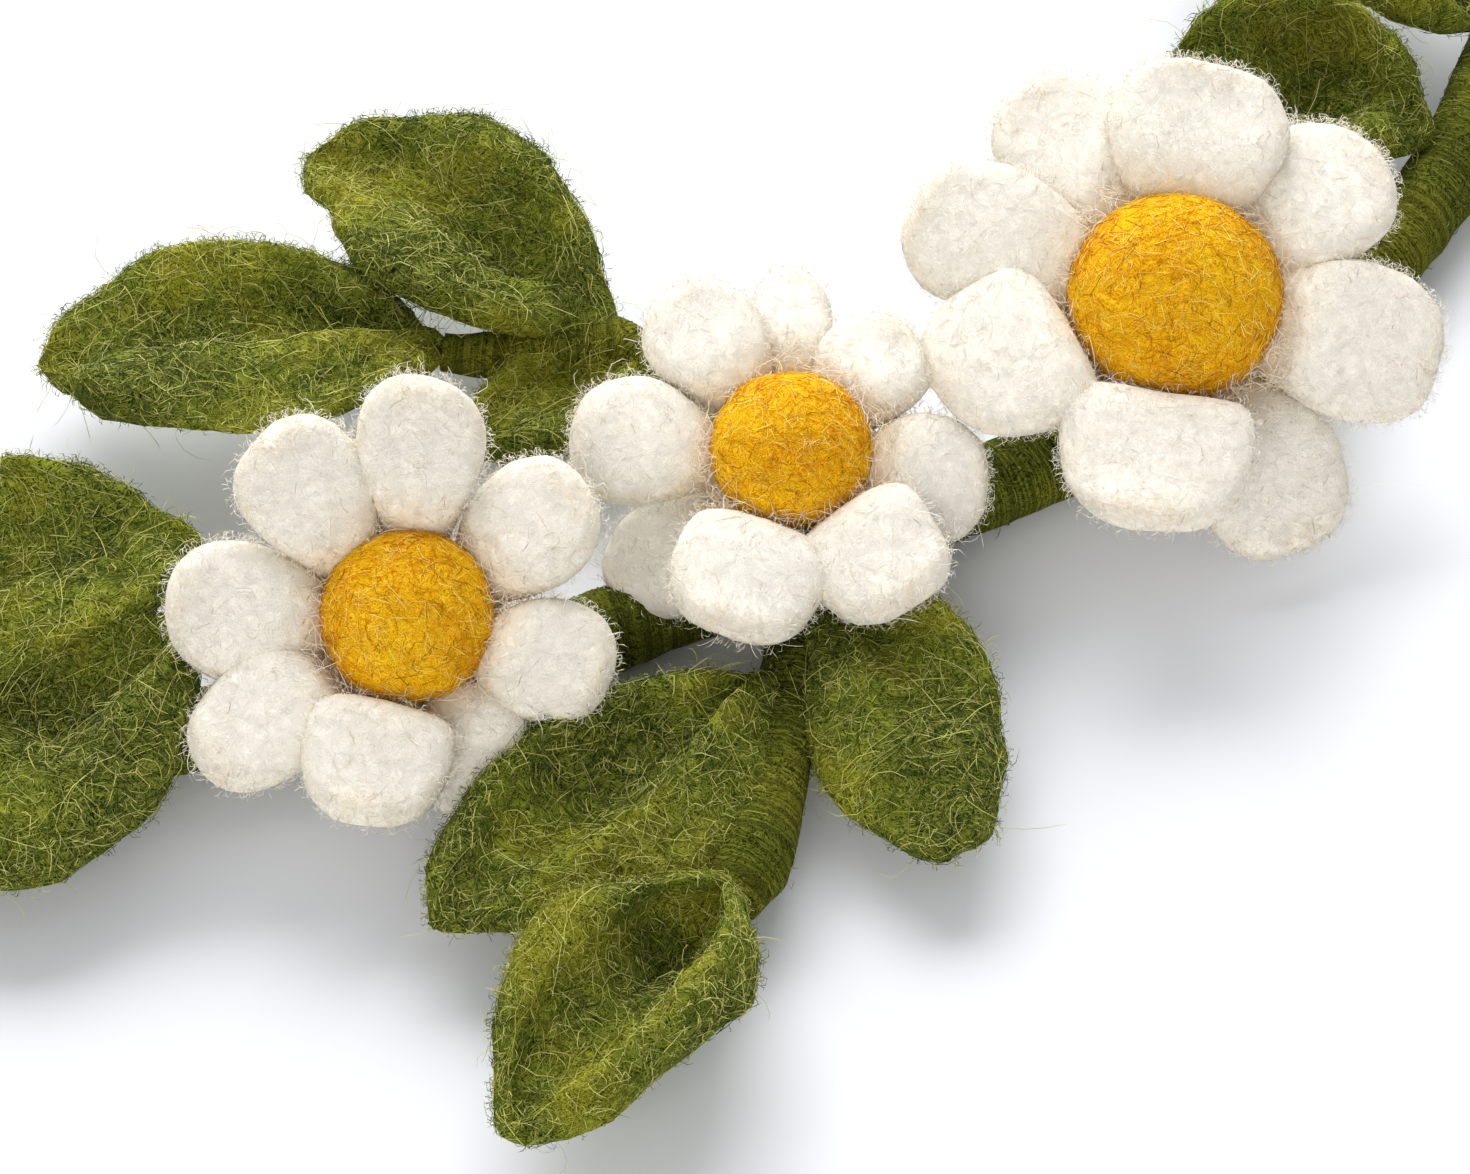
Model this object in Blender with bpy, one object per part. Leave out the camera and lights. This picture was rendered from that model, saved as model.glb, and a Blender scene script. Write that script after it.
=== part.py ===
"""Felt flower wreath.

A ring of wire wound with green wool lies flat on its underside. Three like groups follow one
another round it. Each group has three daisies of white felt with a yellow felt centre, an inner
and an outer twig with felt leaves, and a leafy stretch up to the next group.

Sizes are in metres and +Z is up. A place on the ring is given by its angle, counted from -Y towards
+X, and by how far out of the vine's line it lies.
"""

import math

import bmesh
import bpy
from mathutils import Matrix, Vector

MM = 0.001
CLEARANCE = 0.3 * MM
SLIVER = 0.001 * MM

# The ring is bent by hand, so it runs straighter under the daisies and turns between them.
RING_RADIUS = 140 * MM
RING_WAVE = 0.026
RING_WAVES = 6
RING_WAVE_AT = 26
RING_STEPS = 96
GROUPS = 3

# The leaves reach unevenly past the ring, so its centre lies beside the outline's middle.
RING_CENTRE = Vector((8.245 * MM, 10.697 * MM, 0.0))

VINE_RADIUS = 4.0 * MM
VINE_SIDES = 8
VINE_LUMP = 0.25 * MM
VINE_LUMPS_ALONG = 21
VINE_LUMPS_ROUND = 33
VINE_FLAT_BELOW = -0.5
VINE_HEIGHT = VINE_RADIUS * math.cos(math.pi / VINE_SIDES)

WHITE = (0.86, 0.82, 0.74)
YELLOW = (0.83, 0.50, 0.03)
LEAF_GREEN = (0.10, 0.17, 0.03)
VINE_GREEN = (0.13, 0.20, 0.03)
FELT_ROUGHNESS = 0.95


def ring_point(angle, out=0.0, up=0.0):
    """The place at an angle in degrees, so far out of the vine's line and above the floor."""
    turn = math.radians(angle)
    wave = math.cos(RING_WAVES * math.radians(angle - RING_WAVE_AT))
    radius = RING_RADIUS * (1 - RING_WAVE * wave) + out
    return Vector((radius * math.sin(turn), -radius * math.cos(turn), up))


def turned(group):
    """The turn about the ring's centre that carries the first group to another."""
    return Matrix.Translation(RING_CENTRE) @ Matrix.Rotation(math.tau * group / GROUPS, 4, "Z")


def felt(name, colour):
    """Matt felted wool in one colour."""
    material = bpy.data.materials.new(name)
    material.use_nodes = True
    shader = material.node_tree.nodes["Principled BSDF"]
    shader.inputs["Base Color"].default_value = (*colour, 1.0)
    shader.inputs["Roughness"].default_value = FELT_ROUGHNESS
    shader.inputs["Metallic"].default_value = 0.0
    return material


def add_object(name, mesh, collection, material=None):
    """A mesh as an object of a collection, with its material."""
    thing = bpy.data.objects.new(name, mesh)
    collection.objects.link(thing)
    if material:
        mesh.materials.clear()
        mesh.materials.append(material)
    return thing


def add_cutter(name, mesh, collection):
    """A mesh that only cuts or joins other pieces."""
    cutter = add_object(name, mesh, collection)
    cutter.hide_render = True
    cutter.display_type = "WIRE"
    return cutter


def join_or_cut(thing, operation, *, other=None, group=None):
    """A Boolean step on a piece, with one other object or a whole collection."""
    step = thing.modifiers.new(operation.lower(), "BOOLEAN")
    step.operation = operation
    step.solver = "EXACT"
    if group:
        step.operand_type = "COLLECTION"
        step.collection = group
    else:
        step.object = other


def worked_mesh(thing, name):
    """The piece's mesh with its steps worked in and slivers closed, and the piece itself removed."""
    bpy.context.view_layer.update()
    evaluated = thing.evaluated_get(bpy.context.evaluated_depsgraph_get())
    mesh = bpy.data.meshes.new_from_object(evaluated)
    mesh.name = name
    mesh.transform(thing.matrix_world)
    bpy.data.objects.remove(thing)
    shape = bmesh.new()
    shape.from_mesh(mesh)
    bmesh.ops.remove_doubles(shape, verts=shape.verts, dist=SLIVER)
    bmesh.ops.recalc_face_normals(shape, faces=shape.faces)
    shape.to_mesh(mesh)
    shape.free()
    return mesh


# A blade is a leaf or a petal: a slab of thick felt with a soft edge.
BLADE_SQUARE = 0.62
BLADE_EDGE = 0.45
NEARLY_STRAIGHT = math.radians(0.01)


def blade_mesh(name, size, outline, sides, rings):
    """A closed blade whose root is at the origin, pointing along +X with its face up.

    size holds length, width, thick and the angles rise and lift (of the root and the tip), cup_root
    and cup_tip, in degrees. outline gives the width along the blade, from 0 to 1.
    """
    ball = bmesh.new()
    bmesh.ops.create_uvsphere(ball, u_segments=sides, v_segments=rings, radius=1.0)
    half_step = math.pi / sides
    for vertex in ball.verts:
        along = (1 + vertex.co.z) / 2
        rim = math.sqrt(max(0.0, 1 - vertex.co.z ** 2))
        turn = math.atan2(vertex.co.y, vertex.co.x) + half_step
        across = math.copysign(abs(math.cos(turn)) ** BLADE_SQUARE, math.cos(turn))
        upward = math.copysign(abs(math.sin(turn)) ** BLADE_SQUARE, math.sin(turn))
        vertex.co = blade_point(size, outline, along, rim, across, upward)
    bmesh.ops.recalc_face_normals(ball, faces=ball.faces)
    mesh = bpy.data.meshes.new(name)
    ball.to_mesh(mesh)
    ball.free()
    mesh.shade_smooth()
    return mesh


def blade_point(size, outline, along, rim, across, upward):
    """A point of a blade from its share of the length, width and thickness."""
    rise = math.radians(size["rise"])
    curl = math.radians(size["lift"]) - rise
    slope = rise + curl * along
    if abs(curl) < NEARLY_STRAIGHT:
        forward = math.cos(rise) * along
        height = math.sin(rise) * along
    else:
        forward = (math.sin(slope) - math.sin(rise)) / curl
        height = (math.cos(rise) - math.cos(slope)) / curl
    spine = Vector((forward, 0.0, height)) * size["length"]
    normal = Vector((-math.sin(slope), 0.0, math.cos(slope)))
    half_width = size["width"] / 2 * outline(along, rim)
    half_thick = size["thick"] / 2 * rim ** BLADE_EDGE
    cup = math.radians(size["cup_root"] + (size["cup_tip"] - size["cup_root"]) * along)
    bend = cup * across
    if abs(cup) < NEARLY_STRAIGHT:
        side = half_width * across
        dish = 0.0
    else:
        side = half_width / cup * math.sin(bend)
        dish = half_width / cup * (1 - math.cos(bend))
    side -= half_thick * upward * math.sin(bend)
    dish += half_thick * upward * math.cos(bend)
    return spine + normal * dish + Vector((0.0, side, 0.0))


# Vine: wire wound with green wool, with two wound side twigs in each group.
# Each twig's points are on the ring: angle, out of the vine's line and height, then its radius.
TWIG_COLUMNS = ("angle", "out", "up", "radius")
INNER_TWIG = (
    (24.6, 0.0, 5.0, 2.8),
    (24.7, -11.0, 5.5, 2.6),
    (24.8, -22.0, 6.2, 2.6),
    (23.6, -29.0, 6.9, 2.6),
    (20.8, -31.0, 7.2, 2.4),
    (16.8, -33.3, 7.4, 2.2),
    (14.8, -35.4, 7.4, 1.9),
)
OUTER_TWIG = (
    (26.0, 0.0, 4.8, 3.2),
    (24.1, 10.0, 5.0, 3.1),
    (21.8, 20.0, 5.2, 3.1),
    (20.4, 26.5, 5.3, 3.3),
    (19.0, 32.5, 5.4, 3.9),
    (18.1, 36.0, 5.4, 3.0),
)
TWIG_BEVEL_RESOLUTION = 2


def vine_mesh(swell):
    """The wound ring, swollen by so much. Its underside is one flat strip on the floor."""
    bpy.ops.mesh.primitive_torus_add(
        major_segments=RING_STEPS,
        minor_segments=VINE_SIDES,
        major_radius=RING_RADIUS,
        minor_radius=VINE_RADIUS,
    )
    torus = bpy.context.object
    mesh = torus.data
    bpy.data.objects.remove(torus)
    half_step = math.pi / VINE_SIDES
    for vertex in mesh.vertices:
        angle = math.degrees(math.atan2(vertex.co.x, -vertex.co.y))
        out = math.hypot(vertex.co.x, vertex.co.y) - RING_RADIUS
        section = math.atan2(vertex.co.z, out) + half_step
        radius = VINE_RADIUS + swell
        if math.sin(section) > VINE_FLAT_BELOW:
            radius += VINE_LUMP * math.sin(math.radians(angle * VINE_LUMPS_ALONG))
            radius += VINE_LUMP * math.cos(math.radians(angle * VINE_LUMPS_ROUND) + section)
        height = VINE_HEIGHT + radius * math.sin(section)
        vertex.co = ring_point(angle, radius * math.cos(section), height)
    return mesh


def twig_mesh(route, swell, group):
    """A wound twig along its route as a closed tube."""
    rows = [dict(zip(TWIG_COLUMNS, row)) for row in route]
    places = [ring_point(row["angle"], row["out"] * MM, row["up"] * MM) for row in rows]
    places[0] += (places[0] - places[1]).normalized() * swell
    places[-1] += (places[-1] - places[-2]).normalized() * swell
    curve = bpy.data.curves.new("twig", "CURVE")
    curve.dimensions = "3D"
    curve.bevel_depth = 1.0
    curve.bevel_resolution = TWIG_BEVEL_RESOLUTION
    curve.use_fill_caps = True
    spline = curve.splines.new("POLY")
    spline.points.add(len(rows) - 1)
    for point, place, row in zip(spline.points, places, rows):
        point.co = (*place, 1.0)
        point.radius = row["radius"] * MM + swell
    thing = bpy.data.objects.new("twig", curve)
    bpy.context.scene.collection.objects.link(thing)
    thing.matrix_world = Matrix.Rotation(math.tau * group / GROUPS, 4, "Z")
    mesh = worked_mesh(thing, "twig")
    bpy.data.curves.remove(curve)
    return mesh


def vine_with_twigs(name, swell, groups):
    """The ring and its twigs as one body."""
    scratch = bpy.data.collections.new("twigs to join")
    for group in groups:
        for route in (INNER_TWIG, OUTER_TWIG):
            add_cutter("twig to join", twig_mesh(route, swell, group), scratch)
    bpy.context.scene.collection.children.link(scratch)
    ring = add_object(name, vine_mesh(swell), bpy.context.scene.collection)
    join_or_cut(ring, "UNION", group=scratch)
    mesh = worked_mesh(ring, name)
    remove_collection(scratch)
    return mesh


def remove_collection(collection):
    """A scratch collection removed with all that it holds."""
    for thing in list(collection.objects):
        bpy.data.objects.remove(thing)
    bpy.data.collections.remove(collection)


# Daisies: eight petals of white felt joined at a thick root, each daisy leaning out of the ring.
DAISY_COLUMNS = ("angle", "out", "up", "turn", "lean", "ball")
DAISIES = {
    "a": (9.9, 0.5, 14.0, -9.9, 28.0, 15.4),
    "b": (26.3, -2.8, 14.2, -26.3, 16.0, 14.6),
    "c": (43.0, -1.3, 15.5, -43.0, 22.0, 19.4),
}
PETAL_COLUMNS = ("way", "length", "width", "rise", "lift", "cup")
PETALS = {
    "a": (
        (32, 19.3, 13.6, 8, 52, 12),
        (86, 21.5, 13.4, 8, 58, 14),
        (131, 20.5, 14.0, 8, 55, 14),
        (175, 20.3, 14.0, 8, 39, 10),
        (216, 21.0, 13.6, 8, 46, 10),
        (257, 19.0, 13.6, 8, 50, 6),
        (297, 16.0, 12.0, 0, 6, 8),
        (347, 16.5, 13.2, 8, 32, 10),
    ),
    "b": (
        (49, 14.8, 12.6, 8, 29, 12),
        (90, 17.6, 9.0, 4, 12, 8),
        (127, 17.5, 13.0, 8, 32, 12),
        (174, 18.0, 14.0, 8, 26, 12),
        (214, 17.0, 12.0, -8, -4, 8),
        (252, 20.0, 14.0, 8, 46, 6),
        (309, 18.4, 13.6, 8, 42, 6),
        (356, 15.5, 13.6, 6, 12, 10),
    ),
    "c": (
        (37, 22.3, 16.5, 6, 20, 12),
        (82, 21.8, 18.5, 8, 29, 14),
        (122, 23.5, 16.0, 6, 16, 12),
        (158, 24.0, 16.0, 8, 24, 10),
        (209, 22.0, 17.5, 8, 36, 8),
        (262, 24.0, 17.0, 8, 50, 6),
        (300, 22.0, 16.0, -4, 0, 10),
        (350, 22.8, 16.5, 4, 12, 10),
    ),
}
PETAL_THICK = 4.4 * MM
PETAL_ROOT_SHARE = 0.62
PETAL_WIDEST = 0.62
PETAL_WIDEN = 1.3
PETAL_ROUND = 0.75
PETAL_ROOT_CUP = 2
PETAL_SIDES = 8
PETAL_RINGS = 5
PETAL_ROOT_OUT = 3.0 * MM
PETAL_ROOT_DOWN = -2.4 * MM
HUB_TOP_RADIUS = 6.2 * MM
HUB_FOOT_RADIUS = 4.2 * MM
HUB_DEPTH = 7.5 * MM
HUB_SIDES = 12
HUB_SPIN = 7
BALL_FLATNESS = 0.72
BALL_SINK = 0.5
BALL_SIDES = 10
BALL_RINGS = 7
BALL_LEVEL = math.radians(0.1)


def petal_outline(along, rim):
    """Narrow at the root, widest past the middle, with a round end."""
    widened = min(1.0, along / PETAL_WIDEST) ** PETAL_WIDEN
    return (PETAL_ROOT_SHARE + (1 - PETAL_ROOT_SHARE) * widened) * rim ** PETAL_ROUND


def daisy_place(kind):
    """Where a daisy stands: its root's top face, leaning out of the ring."""
    row = dict(zip(DAISY_COLUMNS, DAISIES[kind]))
    at = ring_point(row["angle"], row["out"] * MM, row["up"] * MM)
    facing = Matrix.Rotation(math.radians(row["angle"] + row["turn"]), 4, "Z")
    return Matrix.Translation(at) @ facing @ Matrix.Rotation(math.radians(row["lean"]), 4, "X")


def petal_place(way):
    """A petal's root inside the daisy's root, pointing along its way."""
    root = Matrix.Translation((PETAL_ROOT_OUT, 0.0, PETAL_ROOT_DOWN))
    return Matrix.Rotation(math.radians(way), 4, "Z") @ root


def ball_mesh(kind, swell=0.0):
    """A felted ball pressed to a dome with a flat underside just above the petals' root."""
    row = dict(zip(DAISY_COLUMNS, DAISIES[kind]))
    radius = row["ball"] / 2 * MM
    ball = bmesh.new()
    bmesh.ops.create_uvsphere(ball, u_segments=BALL_SIDES, v_segments=BALL_RINGS, radius=1.0)
    middle = CLEARANCE + radius * BALL_SINK
    for vertex in ball.verts:
        wide = radius + swell
        high = radius * BALL_FLATNESS + swell
        height = max(middle + vertex.co.z * high, CLEARANCE - swell)
        vertex.co = (vertex.co.x * wide, vertex.co.y * wide, height)
    bmesh.ops.remove_doubles(ball, verts=ball.verts, dist=SLIVER)
    bmesh.ops.dissolve_limit(
        ball, angle_limit=BALL_LEVEL, verts=ball.verts, edges=ball.edges
    )
    bmesh.ops.recalc_face_normals(ball, faces=ball.faces)
    mesh = bpy.data.meshes.new("daisy ball")
    ball.to_mesh(mesh)
    ball.free()
    mesh.shade_smooth()
    return mesh


def hub_mesh():
    """The thick felted root that carries the petals."""
    hub = bmesh.new()
    bmesh.ops.create_cone(
        hub,
        cap_ends=True,
        segments=HUB_SIDES,
        radius1=HUB_FOOT_RADIUS,
        radius2=HUB_TOP_RADIUS,
        depth=HUB_DEPTH,
        matrix=Matrix.Translation((0.0, 0.0, -HUB_DEPTH / 2)),
    )
    mesh = bpy.data.meshes.new("daisy root")
    hub.to_mesh(mesh)
    hub.free()
    return mesh


def corolla_mesh(kind, vine_cutter):
    """The eight petals and their root as one body, seated on the vine and under the ball."""
    scratch = bpy.data.collections.new("petals to join")
    bpy.context.scene.collection.children.link(scratch)
    place = daisy_place(kind)
    for values in PETALS[kind]:
        row = dict(zip(PETAL_COLUMNS, values))
        size = {
            "length": row["length"] * MM,
            "width": row["width"] * MM,
            "thick": PETAL_THICK,
            "rise": row["rise"],
            "lift": row["lift"],
            "cup_root": row["cup"] * PETAL_ROOT_CUP,
            "cup_tip": row["cup"],
        }
        petal = blade_mesh("petal", size, petal_outline, PETAL_SIDES, PETAL_RINGS)
        petal.transform(place @ petal_place(row["way"]))
        add_cutter("petal to join", petal, scratch)
    hub = hub_mesh()
    hub.transform(place @ Matrix.Rotation(math.radians(HUB_SPIN), 4, "Z"))
    corolla = add_object("corolla", hub, bpy.context.scene.collection)
    join_or_cut(corolla, "UNION", group=scratch)
    ball = ball_mesh(kind, CLEARANCE)
    ball.transform(place)
    ball_cutter = add_cutter("ball clearance", ball, bpy.context.scene.collection)
    join_or_cut(corolla, "DIFFERENCE", other=ball_cutter)
    join_or_cut(corolla, "DIFFERENCE", other=vine_cutter)
    mesh = worked_mesh(corolla, "daisy petals " + kind)
    mesh.shade_smooth()
    bpy.data.objects.remove(ball_cutter)
    remove_collection(scratch)
    return mesh


# Leaves: thick green felt, cupped and pinched at the root where each is wound or sewn on.
# The root's place is on the ring; heading is 0 outwards, 90 onwards round the ring, 180 inwards.
LEAF_COLUMNS = (
    "angle",
    "out",
    "up",
    "heading",
    "roll",
    "length",
    "width",
    "rise",
    "lift",
    "cup_root",
    "cup_tip",
)
LEAVES = {
    "inner_tip": (14.9, -35.2, 7.5, -101, 6, 39.0, 24.0, 8, -8, 78, 40),
    "inner_back": (23.2, -30.2, 7.5, -149, 3, 36.0, 22.0, 14, -8, 74, 40),
    "inner_small": (24.8, -26.5, 6.6, -84, 4, 20.0, 13.0, -2, -8, 55, 30),
    "outer_wide": (27.2, 3.6, 6.4, -17, 4, 34.0, 21.0, 8, -20, -8, -30),
    "outer_side": (22.2, 17.5, 5.6, -70, -4, 37.0, 20.0, 2, -6, 62, 38),
    "outer_tip": (18.4, 34.5, 6.0, -53, 0, 37.5, 22.0, 4, -4, 84, 46),
    "fork_in": (59.6, -2.0, 6.5, -166, 0, 27.0, 23.0, 16, -4, 66, 40),
    "fork_on": (66.0, -2.0, 6.5, 166, 0, 36.0, 22.0, 18, -4, 60, 34),
    "fork_out": (66.0, 2.0, 5.5, 40, 0, 42.0, 23.0, 16, -6, 55, 30),
    "middle_in": (81.0, -1.0, 5.5, 140, 0, 42.0, 22.0, 18, -6, 55, 30),
    "middle_out": (86.0, 2.0, 5.5, 46, 0, 42.0, 22.0, 16, -6, 55, 30),
    "end_in": (104.5, -2.0, 7.8, 114, 10, 42.0, 19.0, 20, -2, 50, 30),
    "end_out": (122.0, -5.0, 11.2, -53, 0, 37.0, 26.0, 2, -22, 16, -16),
}
LEAF_THICK = 3.2 * MM
LEAF_SIDES = 10
LEAF_RINGS = 7
LEAF_STEM = 0.24
LEAF_ROOT_CURVE = 0.85
LEAF_TIP_CURVE = 0.75
LEAF_FULL = 0.33


def leaf_outline(along, rim):
    """A pinched root, full sides and a blunt point."""
    sides = along ** LEAF_ROOT_CURVE * (1 - along) ** LEAF_TIP_CURVE / LEAF_FULL
    return max(sides, LEAF_STEM * rim * (1 - along))


def leaf_place(kind):
    """A leaf's root on the vine or twig, turned to its heading and rolled."""
    row = dict(zip(LEAF_COLUMNS, LEAVES[kind]))
    at = ring_point(row["angle"], row["out"] * MM, row["up"] * MM)
    facing = Matrix.Rotation(math.radians(row["angle"] - 90 + row["heading"]), 4, "Z")
    return Matrix.Translation(at) @ facing @ Matrix.Rotation(math.radians(row["roll"]), 4, "X")


def leaf_mesh(kind, vine_cutter):
    """A leaf seated on the vine or twig that carries it."""
    row = dict(zip(LEAF_COLUMNS, LEAVES[kind]))
    size = {
        "length": row["length"] * MM,
        "width": row["width"] * MM,
        "thick": LEAF_THICK,
        "rise": row["rise"],
        "lift": row["lift"],
        "cup_root": row["cup_root"],
        "cup_tip": row["cup_tip"],
    }
    mesh = blade_mesh("leaf", size, leaf_outline, LEAF_SIDES, LEAF_RINGS)
    mesh.transform(leaf_place(kind))
    leaf = add_object("leaf", mesh, bpy.context.scene.collection)
    join_or_cut(leaf, "DIFFERENCE", other=vine_cutter)
    mesh = worked_mesh(leaf, "leaf " + kind)
    mesh.shade_smooth()
    return mesh


def build():
    """The whole wreath, one object for each piece."""
    for thing in list(bpy.data.objects):
        bpy.data.objects.remove(thing)
    wreath = bpy.data.collections.new("felt_flower_wreath")
    cutters = bpy.data.collections.new("cutters")
    bpy.context.scene.collection.children.link(wreath)
    bpy.context.scene.collection.children.link(cutters)
    white = felt("white felt", WHITE)
    yellow = felt("yellow felt", YELLOW)
    leaf_green = felt("leaf felt", LEAF_GREEN)
    vine_green = felt("vine wool", VINE_GREEN)

    vine = add_object("vine", vine_with_twigs("vine", 0.0, range(GROUPS)), wreath, vine_green)
    vine.location = RING_CENTRE
    clearance = vine_with_twigs("vine clearance", CLEARANCE, range(1))
    vine_cutter = add_cutter("vine_clearance", clearance, cutters)

    for kind in DAISIES:
        corolla = corolla_mesh(kind, vine_cutter)
        ball = ball_mesh(kind)
        ball.transform(daisy_place(kind))
        for group in range(GROUPS):
            petals = add_object(f"daisy_{kind}{group + 1}_petals", corolla, wreath, white)
            petals.matrix_world = turned(group)
            centre = add_object(f"daisy_{kind}{group + 1}_centre", ball, wreath, yellow)
            centre.matrix_world = turned(group)
    for kind in LEAVES:
        mesh = leaf_mesh(kind, vine_cutter)
        for group in range(GROUPS):
            leaf = add_object(f"leaf_{kind}_{group + 1}", mesh, wreath, leaf_green)
            leaf.matrix_world = turned(group)
    bpy.data.objects.remove(vine_cutter)
    bpy.data.collections.remove(cutters)


build()
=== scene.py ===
"""Felt flower wreath: a wool-wound ring with white felt daisies and green felt leaves.

Everything is in metres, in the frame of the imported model, with the wreath lying flat and +Z up.
"""

import math

import bmesh
import bpy
import numpy as np
from mathutils import Matrix, Vector, noise
from mathutils.bvhtree import BVHTree


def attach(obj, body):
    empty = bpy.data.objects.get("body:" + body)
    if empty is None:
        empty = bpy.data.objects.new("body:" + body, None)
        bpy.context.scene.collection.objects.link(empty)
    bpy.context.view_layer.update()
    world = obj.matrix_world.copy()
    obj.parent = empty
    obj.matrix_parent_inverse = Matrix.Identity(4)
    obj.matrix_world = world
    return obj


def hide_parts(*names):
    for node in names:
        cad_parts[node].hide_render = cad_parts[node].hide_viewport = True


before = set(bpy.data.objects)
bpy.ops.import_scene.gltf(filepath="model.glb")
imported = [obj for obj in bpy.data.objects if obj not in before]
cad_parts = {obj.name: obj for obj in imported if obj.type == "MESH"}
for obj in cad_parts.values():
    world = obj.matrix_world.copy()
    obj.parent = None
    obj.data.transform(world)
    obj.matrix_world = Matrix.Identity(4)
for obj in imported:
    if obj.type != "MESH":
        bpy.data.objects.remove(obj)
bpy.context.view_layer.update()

# Ring: a hoop of wire bent by hand, wound round and round with green wool.
# It lies flat on its underside, runs straighter under the daisies and carries all the other pieces.
MM = 0.001
RING_CENTRE = Vector((8.245 * MM, 10.697 * MM, 0.0))
RING_RADIUS = 140 * MM
RING_WAVE = 0.026
RING_WAVES = 6
RING_WAVE_AT = 26
GROUPS = 3
VINE_RADIUS = 4.0 * MM
VINE_MIDDLE = 3.7 * MM
VINE_STEPS = 720
VINE_SIDES = 16
# Painted shade: the first colour is the shade in the gaps between the wound wool's fibres.
WOOL_GAP_SHADE = (0.010, 0.013, 0.001)
WOOL_GREENS = ((0.040, 0.055, 0.004), (0.085, 0.105, 0.007), (0.17, 0.17, 0.012))
WOOL_PALE = (0.27, 0.28, 0.04)


def ring_point(angle, out=0.0, up=0.0):
    """The place at an angle in degrees, so far out of the vine's line and above the floor."""
    turn = math.radians(angle)
    wave = math.cos(RING_WAVES * math.radians(angle - RING_WAVE_AT))
    radius = RING_RADIUS * (1 - RING_WAVE * wave) + out
    return Vector((radius * math.sin(turn), -radius * math.cos(turn), up))


def turned(group):
    """The turn about the ring's centre that carries the first group to another."""
    return Matrix.Translation(RING_CENTRE) @ Matrix.Rotation(math.tau * group / GROUPS, 4, "Z")


def lump(place, size):
    """Uneven felting at a place, between about -1 and 1, with lumps of a given size."""
    return noise.noise(place / size)


def roughen(shape, lumps):
    """Moves each point out or in along its normal; lumps holds pairs of size and depth."""
    shape.normal_update()
    moves = []
    for vertex in shape.verts:
        depth = sum(lump(vertex.co, size) * height for size, height in lumps)
        moves.append(vertex.normal * depth)
    for vertex, move in zip(shape.verts, moves):
        vertex.co += move


def patch_value(place):
    """How light the wool is at a place, from 0 to 1, as it was dyed and carded unevenly."""
    wide = noise.noise(place / (11 * MM) + Vector((7.0, 3.0, 1.0)))
    small = noise.noise(place / (3.6 * MM) + Vector((1.0, 9.0, 4.0)))
    return min(1.0, max(0.0, 0.5 + 1.25 * wide + 0.55 * small))


def no_run(place):
    """A piece whose fibres lie every way."""
    return Vector((0.0, 0.0, 0.0))


def felt_mesh(name, shape, patch=patch_value, run=no_run):
    """A shape as a smooth mesh that holds how light it is and the wire's way at each point."""
    mesh = bpy.data.meshes.new(name)
    shape.to_mesh(mesh)
    shape.free()
    mesh.shade_smooth()
    patches = mesh.attributes.new("patch", "FLOAT", "POINT")
    patches.data.foreach_set("value", [patch(vertex.co) for vertex in mesh.vertices])
    runs = mesh.attributes.new("run", "FLOAT_VECTOR", "POINT")
    for vertex, value in zip(mesh.vertices, runs.data):
        value.vector = run(vertex.co)
    return mesh


def finished(name, shape, material, nodes, patch=patch_value, run=no_run):
    """A shape as a piece of the wreath that rides on the root and stands for its nodes."""
    mesh = felt_mesh(name, shape, patch, run)
    mesh.materials.append(material)
    piece = bpy.data.objects.new(name, mesh)
    bpy.context.scene.collection.objects.link(piece)
    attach(piece, "root")
    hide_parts(*nodes)
    return piece


class Number:
    """A number from a shader node's socket, on which sums are written as plain expressions."""

    def __init__(self, dye, socket):
        self.dye = dye
        self.socket = socket

    def _sum(self, operation, *values):
        return self.dye.add("ShaderNodeMath", {"operation": operation}, dict(enumerate(values)))

    def __add__(self, other):
        return self._sum("ADD", self, other)

    def __mul__(self, other):
        return self._sum("MULTIPLY", self, other)

    def __sub__(self, other):
        return self._sum("SUBTRACT", self, other)

    def __rsub__(self, other):
        return self._sum("SUBTRACT", other, self)

    def __truediv__(self, other):
        return self._sum("DIVIDE", self, other)

    __radd__ = __add__
    __rmul__ = __mul__

    def size(self):
        """The number without its sign."""
        return self._sum("ABSOLUTE", self)

    def part(self):
        """What is left past the whole number."""
        return self._sum("FRACT", self)

    def most(self, other):
        """The larger of two numbers."""
        return self._sum("MAXIMUM", self, other)

    def least(self, other):
        """The smaller of two numbers."""
        return self._sum("MINIMUM", self, other)


class Dye:
    """One material's nodes, each added by its type, its settings and its sockets' values."""

    def __init__(self, name):
        self.material = bpy.data.materials.new(name)
        self.material.use_nodes = True
        self.nodes = self.material.node_tree.nodes
        self.links = self.material.node_tree.links
        self.felt = self.nodes["Principled BSDF"]

    def add(self, kind, settings=None, values=None, output=0):
        """A node of that type; values are by socket name or index, as numbers, colours or links."""
        node = self.nodes.new(kind)
        for setting, value in (settings or {}).items():
            setattr(node, setting, value)
        self.set(node, values or {})
        return Number(self, node.outputs[output])

    def set(self, node, values):
        """Sets or links the sockets of a node."""
        for socket, value in values.items():
            if isinstance(value, Number):
                self.links.new(value.socket, node.inputs[socket])
            else:
                node.inputs[socket].default_value = value

    def blend(self, share, first, second):
        """A colour between two colours."""
        colours = {0: share}
        for socket, colour in ((6, first), (7, second)):
            colours[socket] = colour if isinstance(colour, Number) else (*colour, 1.0)
        return self.add("ShaderNodeMix", {"data_type": "RGBA"}, colours, output=2)


# The layers of fibres in the felt, the deepest first: each one's turn about the upright and
# its tilt in degrees, and how light it is from 0 to 1. That lightness is painted light and shade:
# deeper layers are painted darker, as shade falls between the fibres, and upper ones lighter.
FELT_LAYERS = ((12, 20, 0.3), (96, 30, 0.45), (52, -25, 0.6), (140, -20, 0.8), (170, 15, 1.0))
FIBRE_RUN = 4.5
FIBRE_WIDE = 0.16
FIBRE_DRIFT = 6.0


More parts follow.
